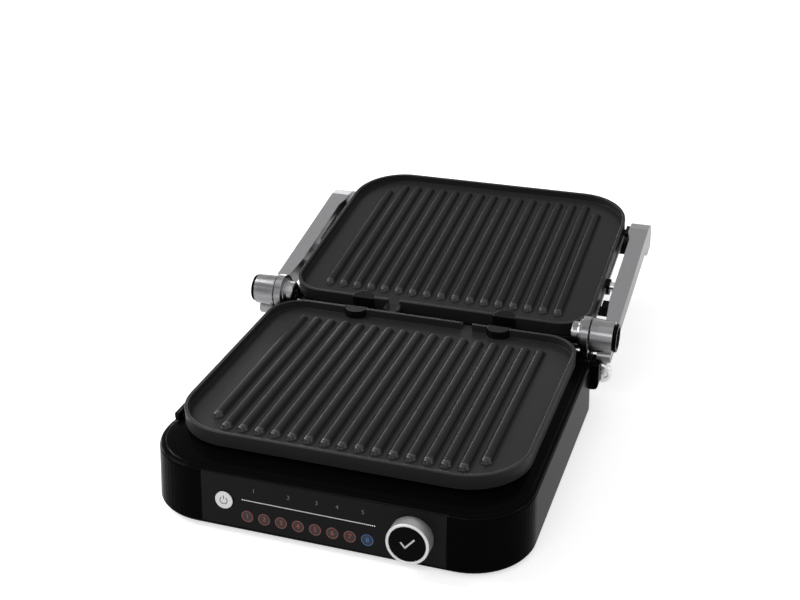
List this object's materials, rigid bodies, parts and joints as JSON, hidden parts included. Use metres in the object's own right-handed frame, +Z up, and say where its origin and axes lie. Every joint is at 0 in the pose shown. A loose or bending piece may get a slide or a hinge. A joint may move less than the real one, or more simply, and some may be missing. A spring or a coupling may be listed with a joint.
{
  "type": "electric contact grill",
  "caption": "Electric contact grill with two ridged plates and a hinged floating lid on side arms, drawn opened flat, with a control panel and a drip tray.",
  "frame": {"origin": "on the table under the middle of the opened grill", "axes": "+X to the right seen from the control panel, +Y from the panel towards the opened lid, +Z up"},
  "size_m": [0.3726, 0.5738, 0.1113],
  "materials": {
    "gloss_black": "gloss",
    "satin_black": "satin",
    "rubber_black": "matte",
    "charcoal_panel": "satin",
    "red_window": "translucent gloss",
    "chrome": "polished",
    "knob_metal": "spun",
    "black_face": "gloss",
    "steel": "brushed",
    "heating_steel": "dull",
    "board_green": "satin",
    "bright_sheet": "bright",
    "sensor_brass": "dull",
    "coated_plate": "non-stick coat",
    "cast_silver": "brushed",
    "brushed_cover": "brushed"
  },
  "bodies": {
    "base": {"base_housing": "gloss_black", "bottom_cover": "satin_black", "rubber_feet": "rubber_black", "control_panel": "charcoal_panel", "programme_windows": "red_window", "knob_encoder": "steel", "control_board": "board_green", "power_board": "board_green", "cord_gland": "rubber_black", "lower_reflector": "bright_sheet", "lower_heater": "heating_steel", "lower_sensor": "sensor_brass", "lower_plate_hooks": "satin_black", "hinge_cover_right": "gloss_black", "hinge_cover_left": "gloss_black", "hinge_bracket_right": "cast_silver", "hinge_bracket_left": "cast_silver", "hinge_pins": "steel", "collar_plugs": "black_face", "bottom_screws": "steel"},
    "lower_plate": {"lower_plate": "coated_plate"},
    "upper_plate": {"upper_plate": "coated_plate"},
    "arms": {"arm_right": "cast_silver", "arm_left": "cast_silver", "hinge_barrels": "cast_silver", "barrel_caps": "gloss_black", "handle_bar": "satin_black", "arm_screws": "steel", "float_pins": "steel", "tilt_stops": "satin_black"},
    "lid": {"lid_frame": "satin_black", "lid_cover": "brushed_cover", "upper_reflector": "bright_sheet", "upper_heater": "heating_steel", "upper_sensor": "sensor_brass", "upper_plate_hooks": "satin_black"},
    "knob": {"selector_knob": "knob_metal"},
    "confirm_button": {"confirm_button": "black_face"},
    "power_button": {"power_button": "chrome"},
    "lower_release_button": {"lower_release_button": "satin_black"},
    "upper_release_button": {"upper_release_button": "satin_black"},
    "release_lever": {"release_lever": "chrome"},
    "drip_tray": {"drip_tray": "satin_black"}
  },
  "joints": [
    {"name": "lid_hinge", "type": "hinge", "parent": "base", "child": "arms", "pos_m": [0, 0.02312, 0.0742], "axis": [-1, 0, 0], "range_deg": [-171.9, 0]},
    {"name": "lid_float", "type": "hinge", "parent": "arms", "child": "lid", "pos_m": [0, 0.1377, 0.07111], "axis": [1, 0, 0], "range_deg": [0, 5]},
    {"name": "upper_plate_lift", "type": "slide", "parent": "lid", "child": "upper_plate", "axis": [0, -0.1409, 0.99], "range_m": [0, 0.04]},
    {"name": "lower_plate_lift", "type": "slide", "parent": "base", "child": "lower_plate", "axis": [0, 0, 1], "range_m": [0, 0.04]},
    {"name": "knob_turn", "type": "hinge", "parent": "base", "child": "knob", "pos_m": [0.078, -0.27138, 0.03], "axis": [0, 0.9958, -0.0916], "continuous": true},
    {"name": "confirm_press", "type": "slide", "parent": "knob", "child": "confirm_button", "axis": [0, 0.9958, -0.0916], "range_m": [0, 0.0015], "stiffness_N_per_m": 700, "springref_m": -0.001},
    {"name": "power_press", "type": "slide", "parent": "base", "child": "power_button", "axis": [0, 0.9958, -0.0916], "range_m": [0, 0.0012], "stiffness_N_per_m": 700, "springref_m": -0.001},
    {"name": "lower_release_press", "type": "slide", "parent": "base", "child": "lower_release_button", "axis": [1, 0, 0], "range_m": [0, 0.0025], "stiffness_N_per_m": 600, "springref_m": -0.0015},
    {"name": "upper_release_press", "type": "slide", "parent": "lid", "child": "upper_release_button", "axis": [-1, 0, 0], "range_m": [0, 0.0025], "stiffness_N_per_m": 600, "springref_m": -0.0015},
    {"name": "release_lever_pull", "type": "hinge", "parent": "base", "child": "release_lever", "pos_m": [0.1725, 0.02312, 0.036], "axis": [1, 0, 0], "range_deg": [0, 25], "stiffness_Nm_per_rad": 0.1, "springref_deg": -11.46},
    {"name": "drip_tray_slide", "type": "slide", "parent": "base", "child": "drip_tray", "axis": [0, 1, 0], "range_m": [0, 0.09]}
  ]
}
